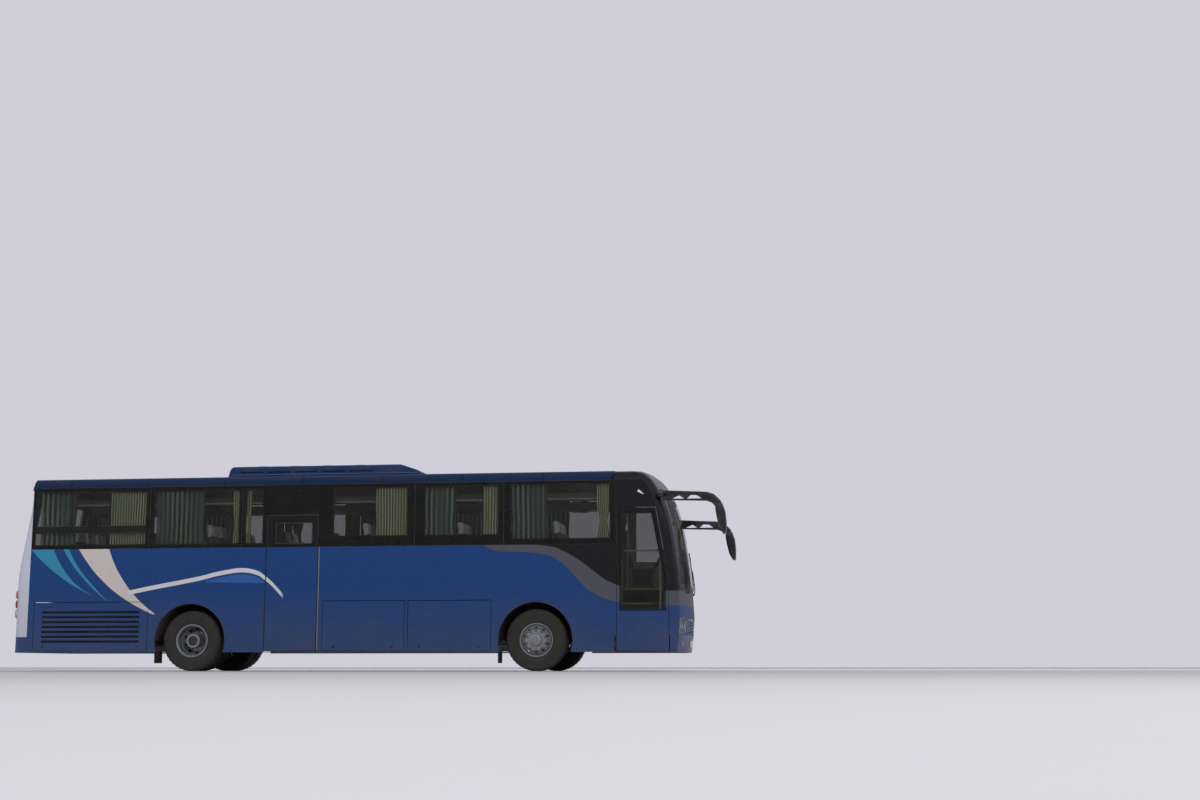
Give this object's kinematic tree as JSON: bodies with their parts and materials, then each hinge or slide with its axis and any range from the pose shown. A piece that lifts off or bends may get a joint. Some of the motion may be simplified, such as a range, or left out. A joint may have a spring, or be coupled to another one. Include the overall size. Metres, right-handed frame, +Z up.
{
  "type": "coach",
  "caption": "High-deck two-axle passenger coach with roof air unit, two plug doors, luggage flaps, steered front wheels and long forward mirrors.",
  "frame": {"origin": "on the ground at the middle of the bounding box, mirrors included", "axes": "+X forward, +Y to the left, +Z up"},
  "size_m": [12.65, 2.81, 3.64],
  "materials": {
    "chassis_frame": "painted",
    "floor_deck": "painted",
    "luggage_bays": "satin",
    "wheel_houses": "painted",
    "side_wall_right": "painted",
    "side_wall_left": "painted",
    "roof_panel": "painted",
    "front_cap": "painted",
    "rear_cap": "painted",
    "bumpers": "painted",
    "windscreen": "clear tinted",
    "body_glass": "clear tinted",
    "air_unit": "painted",
    "head_lamps": "moulded",
    "tail_lamps": "moulded",
    "mirrors": "moulded",
    "wipers": "moulded",
    "engine_block": "rough",
    "fuel_tank": "satin",
    "front_axle": "rough",
    "rear_axle": "rough",
    "air_springs": "matt",
    "seat_frames": "painted",
    "seat_cushions": "woven",
    "luggage_racks": "moulded",
    "dashboard": "moulded",
    "handrails": "painted",
    "curtains": "woven",
    "knuckle_right": "rough",
    "knuckle_left": "rough",
    "tie_rod": "satin",
    "tyre_front_right": "matt",
    "rim_front_right": "satin",
    "tyre_front_left": "matt",
    "rim_front_left": "satin",
    "tyre_rear_right": "matt",
    "rim_rear_right": "satin",
    "tyre_rear_left": "matt",
    "rim_rear_left": "satin",
    "front_door_arm": "painted",
    "front_door": "painted",
    "front_door_glass": "clear tinted",
    "mid_door_arm": "painted",
    "mid_door": "painted",
    "mid_door_glass": "clear tinted",
    "flap_right_rear": "painted",
    "flap_right_front": "painted",
    "flap_left_rear": "painted",
    "flap_left_front": "painted",
    "side_door_right": "painted",
    "side_door_left": "painted",
    "engine_door": "painted",
    "hatch_rear": "moulded",
    "hatch_front": "moulded"
  },
  "bodies": {
    "coach": {"chassis_frame": "chassis_frame", "floor_deck": "floor_deck", "luggage_bays": "luggage_bays", "wheel_houses": "wheel_houses", "side_wall_right": "side_wall_right", "side_wall_left": "side_wall_left", "roof_panel": "roof_panel", "front_cap": "front_cap", "rear_cap": "rear_cap", "bumpers": "bumpers", "windscreen": "windscreen", "body_glass": "body_glass", "air_unit": "air_unit", "head_lamps": "head_lamps", "tail_lamps": "tail_lamps", "mirrors": "mirrors", "wipers": "wipers", "engine_block": "engine_block", "fuel_tank": "fuel_tank", "front_axle": "front_axle", "rear_axle": "rear_axle", "air_springs": "air_springs", "seat_frames": "seat_frames", "seat_cushions": "seat_cushions", "luggage_racks": "luggage_racks", "dashboard": "dashboard", "handrails": "handrails", "curtains": "curtains"},
    "knuckle_right": {"knuckle_right": "knuckle_right"},
    "knuckle_left": {"knuckle_left": "knuckle_left"},
    "tie_rod": {"tie_rod": "tie_rod"},
    "wheel_front_right": {"tyre_front_right": "tyre_front_right", "rim_front_right": "rim_front_right"},
    "wheel_front_left": {"tyre_front_left": "tyre_front_left", "rim_front_left": "rim_front_left"},
    "wheel_rear_right": {"tyre_rear_right": "tyre_rear_right", "rim_rear_right": "rim_rear_right"},
    "wheel_rear_left": {"tyre_rear_left": "tyre_rear_left", "rim_rear_left": "rim_rear_left"},
    "front_door_arm": {"front_door_arm": "front_door_arm"},
    "front_door": {"front_door": "front_door", "front_door_glass": "front_door_glass"},
    "mid_door_arm": {"mid_door_arm": "mid_door_arm"},
    "mid_door": {"mid_door": "mid_door", "mid_door_glass": "mid_door_glass"},
    "flap_right_rear": {"flap_right_rear": "flap_right_rear"},
    "flap_right_front": {"flap_right_front": "flap_right_front"},
    "flap_left_rear": {"flap_left_rear": "flap_left_rear"},
    "flap_left_front": {"flap_left_front": "flap_left_front"},
    "side_door_right": {"side_door_right": "side_door_right"},
    "side_door_left": {"side_door_left": "side_door_left"},
    "engine_door": {"engine_door": "engine_door"},
    "hatch_rear": {"hatch_rear": "hatch_rear"},
    "hatch_front": {"hatch_front": "hatch_front"}
  },
  "joints": [
    {"name": "steer_right", "type": "hinge", "parent": "coach", "child": "knuckle_right", "pos_m": [3.075, -0.9, 0.522], "axis": [0, 0, 1], "range_deg": [-38, 38]},
    {"name": "steer_left", "type": "hinge", "parent": "coach", "child": "knuckle_left", "pos_m": [3.075, 0.9, 0.522], "axis": [0, 0, 1], "range_deg": [-38, 38]},
    {"name": "tie_rod_pivot", "type": "hinge", "parent": "knuckle_right", "child": "tie_rod", "pos_m": [2.905, -0.9, 0.387], "axis": [0, 0, 1], "range_deg": [-38, 38]},
    {"name": "spin_front_right", "type": "hinge", "parent": "knuckle_right", "child": "wheel_front_right", "pos_m": [3.075, -1.03, 0.522], "axis": [0, 1, 0], "continuous": true},
    {"name": "spin_front_left", "type": "hinge", "parent": "knuckle_left", "child": "wheel_front_left", "pos_m": [3.075, 1.03, 0.522], "axis": [0, 1, 0], "continuous": true},
    {"name": "spin_rear_right", "type": "hinge", "parent": "coach", "child": "wheel_rear_right", "pos_m": [-3.025, -1.03, 0.522], "axis": [0, 1, 0], "continuous": true},
    {"name": "spin_rear_left", "type": "hinge", "parent": "coach", "child": "wheel_rear_left", "pos_m": [-3.025, 1.03, 0.522], "axis": [0, 1, 0], "continuous": true},
    {"name": "front_door_swing", "type": "hinge", "parent": "coach", "child": "front_door_arm", "pos_m": [5.195, -1.185, 1], "axis": [0, 0, 1], "range_deg": [0, 100]},
    {"name": "front_door_follow", "type": "hinge", "parent": "front_door_arm", "child": "front_door", "pos_m": [4.595, -1.185, 1], "axis": [0, 0, 1], "range_deg": [-100, 0]},
    {"name": "mid_door_swing", "type": "hinge", "parent": "coach", "child": "mid_door_arm", "pos_m": [-1.585, -1.185, 1], "axis": [0, 0, -1], "range_deg": [0, 100]},
    {"name": "mid_door_follow", "type": "hinge", "parent": "mid_door_arm", "child": "mid_door", "pos_m": [-0.985, -1.185, 1], "axis": [0, 0, -1], "range_deg": [-100, 0]},
    {"name": "flap_right_rear_lift", "type": "hinge", "parent": "coach", "child": "flap_right_rear", "pos_m": [0.075, -1.264, 1.18], "axis": [-1, 0, 0], "range_deg": [0, 90]},
    {"name": "flap_right_front_lift", "type": "hinge", "parent": "coach", "child": "flap_right_front", "pos_m": [1.585, -1.264, 1.18], "axis": [-1, 0, 0], "range_deg": [0, 90]},
    {"name": "side_door_right_lift", "type": "hinge", "parent": "coach", "child": "side_door_right", "pos_m": [-4.855, -1.264, 1.18], "axis": [-1, 0, 0], "range_deg": [0, 90]},
    {"name": "flap_left_rear_lift", "type": "hinge", "parent": "coach", "child": "flap_left_rear", "pos_m": [-1.14, 1.264, 1.18], "axis": [1, 0, 0], "range_deg": [0, 90]},
    {"name": "flap_left_front_lift", "type": "hinge", "parent": "coach", "child": "flap_left_front", "pos_m": [1.18, 1.264, 1.18], "axis": [1, 0, 0], "range_deg": [0, 90]},
    {"name": "side_door_left_lift", "type": "hinge", "parent": "coach", "child": "side_door_left", "pos_m": [-4.855, 1.264, 1.18], "axis": [1, 0, 0], "range_deg": [0, 90]},
    {"name": "engine_door_lift", "type": "hinge", "parent": "coach", "child": "engine_door", "pos_m": [-6.314, 0, 1.548], "axis": [0, 1, 0], "range_deg": [0, 85]},
    {"name": "hatch_rear_lift", "type": "hinge", "parent": "coach", "child": "hatch_rear", "pos_m": [-4.12, 0, 3.445], "axis": [0, -1, 0], "range_deg": [0, 60]},
    {"name": "hatch_front_lift", "type": "hinge", "parent": "coach", "child": "hatch_front", "pos_m": [2.88, 0, 3.445], "axis": [0, -1, 0], "range_deg": [0, 60]}
  ],
  "couplings": [
    {"joint": "steer_left", "follows": "steer_right", "ratio": 1},
    {"joint": "tie_rod_pivot", "follows": "steer_right", "ratio": -1},
    {"joint": "front_door_follow", "follows": "front_door_swing", "ratio": -1},
    {"joint": "mid_door_follow", "follows": "mid_door_swing", "ratio": -1}
  ]
}
